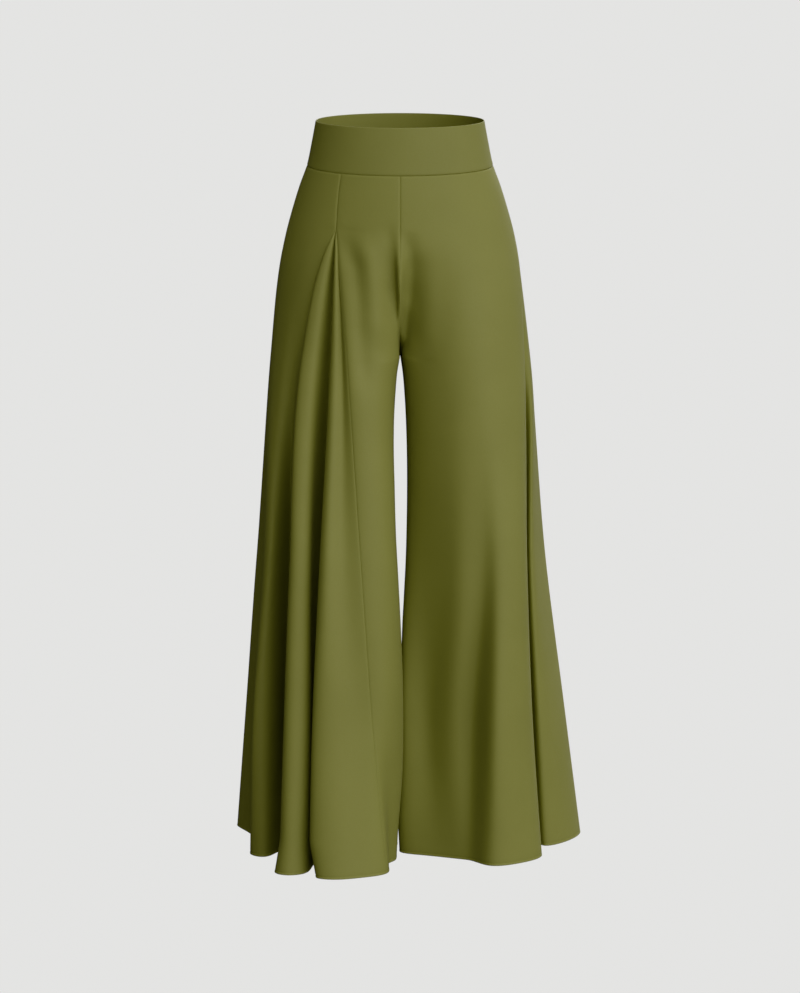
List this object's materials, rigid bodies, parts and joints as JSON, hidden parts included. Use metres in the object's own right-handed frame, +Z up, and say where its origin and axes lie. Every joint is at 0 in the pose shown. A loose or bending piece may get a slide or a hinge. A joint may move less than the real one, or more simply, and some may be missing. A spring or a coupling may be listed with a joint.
{
  "type": "palazzo trousers",
  "caption": "High-waisted wide-leg palazzo trousers worn open and hollow, with a deep plain waistband, a centre seam and a flared godet in the front of one leg.",
  "frame": {"origin": "middle of the waist opening, at the height of its side edges, where a wearer holds the trousers up", "axes": "+Z up out of the waist, -Y towards the wearer's front, -X towards the wearer's right"},
  "size_m": [0.5192, 0.4203, 1.0759],
  "materials": {
    "olive_crepe": "matte crepe, olive green",
    "band_crepe": "matte crepe, olive green, faced"
  },
  "bodies": {
    "root": {"waistband_front": "band_crepe", "waistband_back": "band_crepe", "front_right_centre": "olive_crepe", "front_right_godet": "olive_crepe", "front_right_side": "olive_crepe", "front_left": "olive_crepe", "back_right": "olive_crepe", "back_left": "olive_crepe"}
  },
  "joints": []
}
